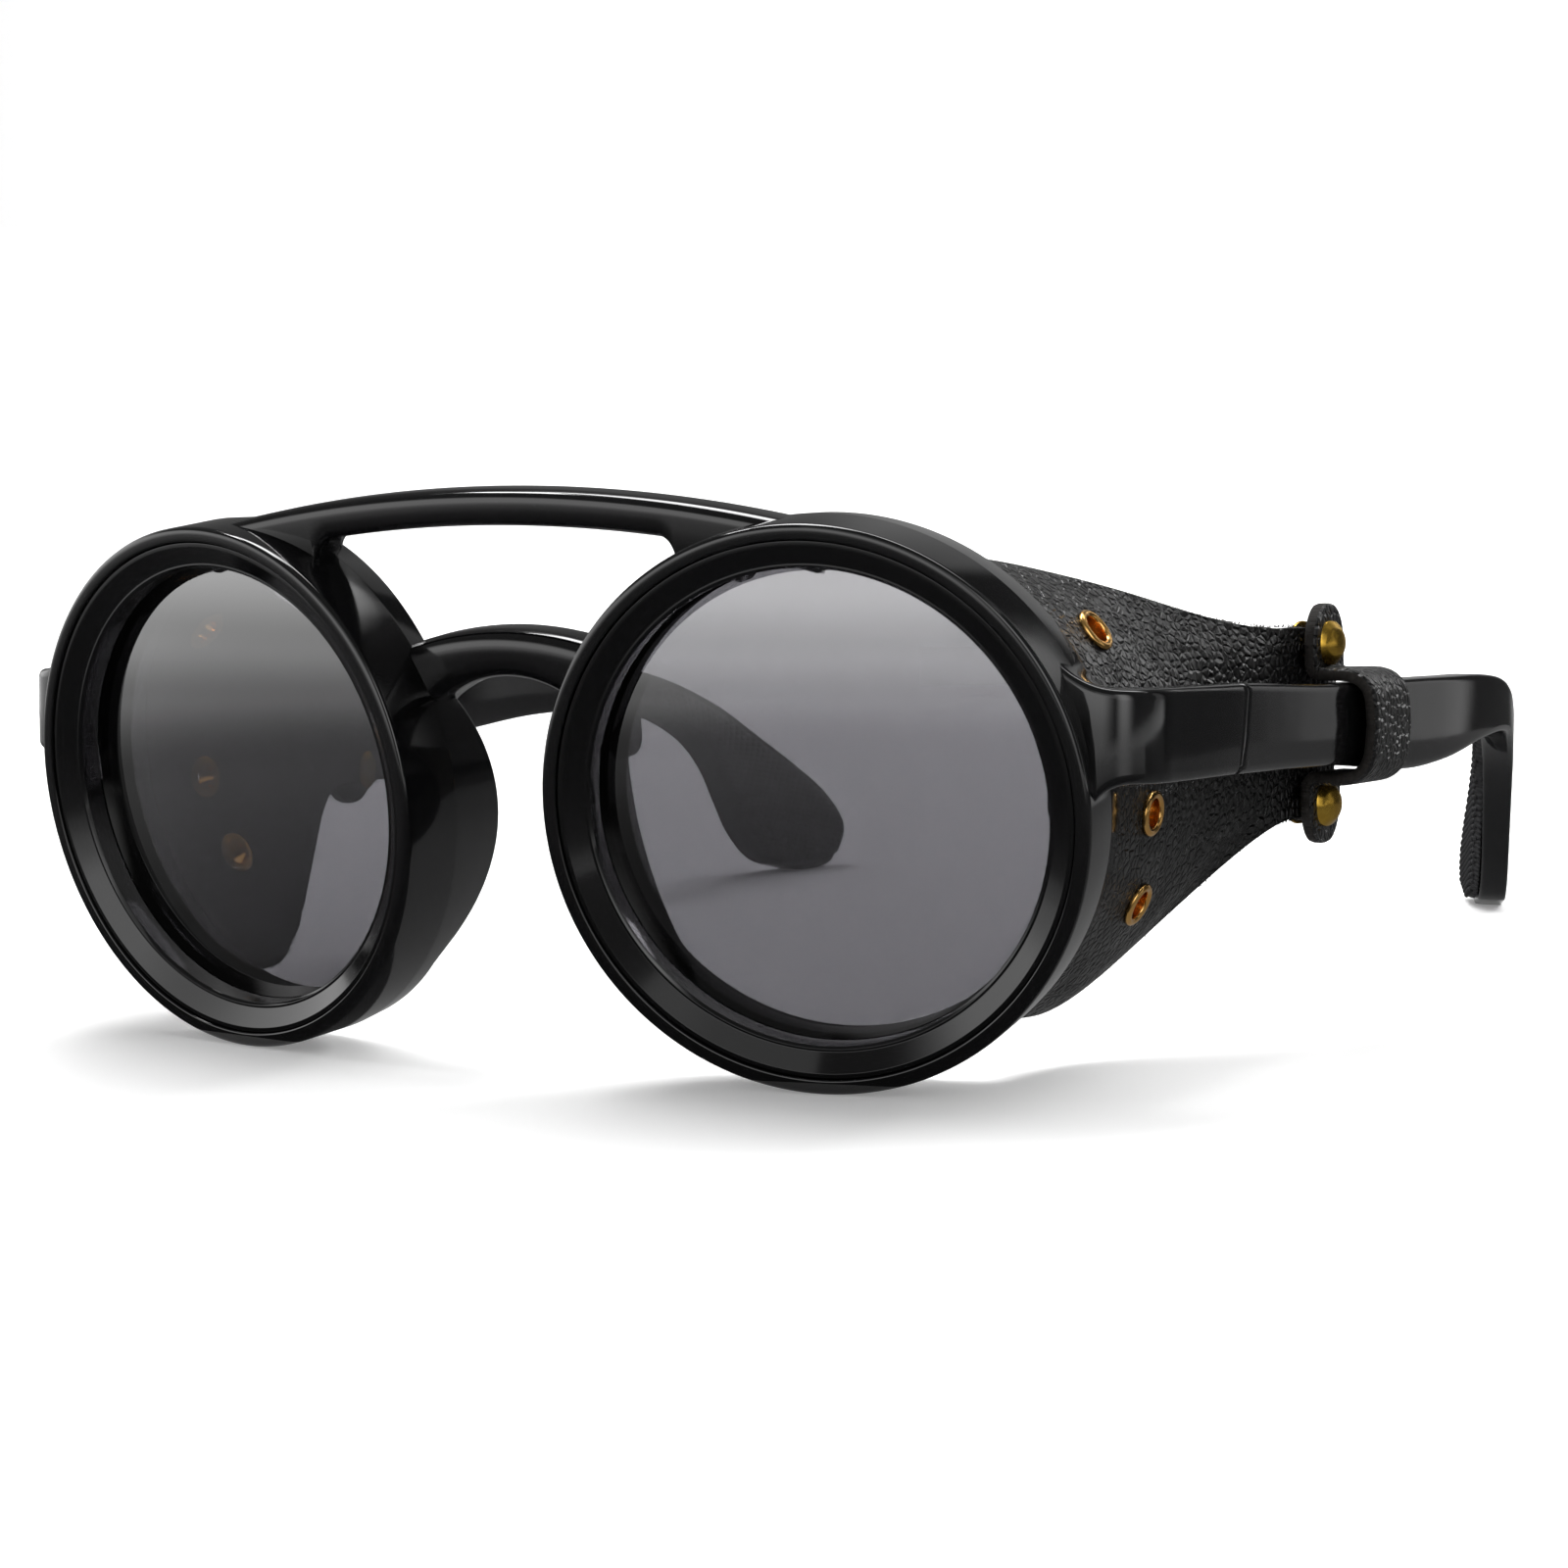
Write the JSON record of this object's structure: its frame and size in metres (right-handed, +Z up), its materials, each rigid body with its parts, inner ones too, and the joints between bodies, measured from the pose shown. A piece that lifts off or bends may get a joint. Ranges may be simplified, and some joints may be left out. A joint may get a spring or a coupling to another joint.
{
  "type": "glacier glasses",
  "caption": "Round dark glacier glasses with deep black rims, brow bar, saddle bridge, folding temples and riveted leather side shields.",
  "frame": {"origin": "on the ground, under the middle of the glasses standing on their rims and temple tips", "axes": "the lenses face -Y, +Z is up, +X is the wearer's left"},
  "size_m": [0.1478, 0.1696, 0.0622],
  "materials": {
    "black_gloss_plastic": "polished injection moulded",
    "black_ring_plastic": "polished injection moulded",
    "smoke_lens": "polished, neutral smoke tint",
    "hinge_steel": "satin stamped",
    "grip_rubber": "dimpled matt",
    "black_leather": "pebbled, cut edges",
    "gold_eyelet": "polished",
    "brass_rivet": "lightly worn"
  },
  "bodies": {
    "front": {"front_frame": "black_gloss_plastic", "left_lens_ring": "black_ring_plastic", "right_lens_ring": "black_ring_plastic", "left_lens": "smoke_lens", "right_lens": "smoke_lens", "left_front_hinge_leaf": "hinge_steel", "right_front_hinge_leaf": "hinge_steel", "left_hinge_screw": "hinge_steel", "right_hinge_screw": "hinge_steel", "left_side_shield": "black_leather", "right_side_shield": "black_leather", "left_top_eyelet": "gold_eyelet", "left_middle_eyelet": "gold_eyelet", "left_low_eyelet": "gold_eyelet", "right_top_eyelet": "gold_eyelet", "right_middle_eyelet": "gold_eyelet", "right_low_eyelet": "gold_eyelet", "left_top_eyelet_washer": "gold_eyelet", "left_middle_eyelet_washer": "gold_eyelet", "left_low_eyelet_washer": "gold_eyelet", "right_top_eyelet_washer": "gold_eyelet", "right_middle_eyelet_washer": "gold_eyelet", "right_low_eyelet_washer": "gold_eyelet"},
    "left_temple_arm": {"left_temple_hinge_leaf": "hinge_steel", "left_temple": "black_gloss_plastic", "left_grip_pad": "grip_rubber", "left_temple_loop": "black_leather", "left_upper_rivet": "brass_rivet", "left_lower_rivet": "brass_rivet", "left_upper_rivet_back": "brass_rivet", "left_lower_rivet_back": "brass_rivet"},
    "right_temple_arm": {"right_temple_hinge_leaf": "hinge_steel", "right_temple": "black_gloss_plastic", "right_grip_pad": "grip_rubber", "right_temple_loop": "black_leather", "right_upper_rivet": "brass_rivet", "right_lower_rivet": "brass_rivet", "right_upper_rivet_back": "brass_rivet", "right_lower_rivet_back": "brass_rivet"}
  },
  "joints": [
    {"name": "left_temple_fold", "type": "hinge", "parent": "front", "child": "left_temple_arm", "pos_m": [0.0659, -0.04861, 0.03562], "axis": [0, 0.0489, 0.9988], "range_deg": [0, 80.5], "deforming": ["left_side_shield"]},
    {"name": "right_temple_fold", "type": "hinge", "parent": "front", "child": "right_temple_arm", "pos_m": [-0.0659, -0.04861, 0.03562], "axis": [0, -0.0489, -0.9988], "range_deg": [0, 52], "deforming": ["right_side_shield"]}
  ]
}
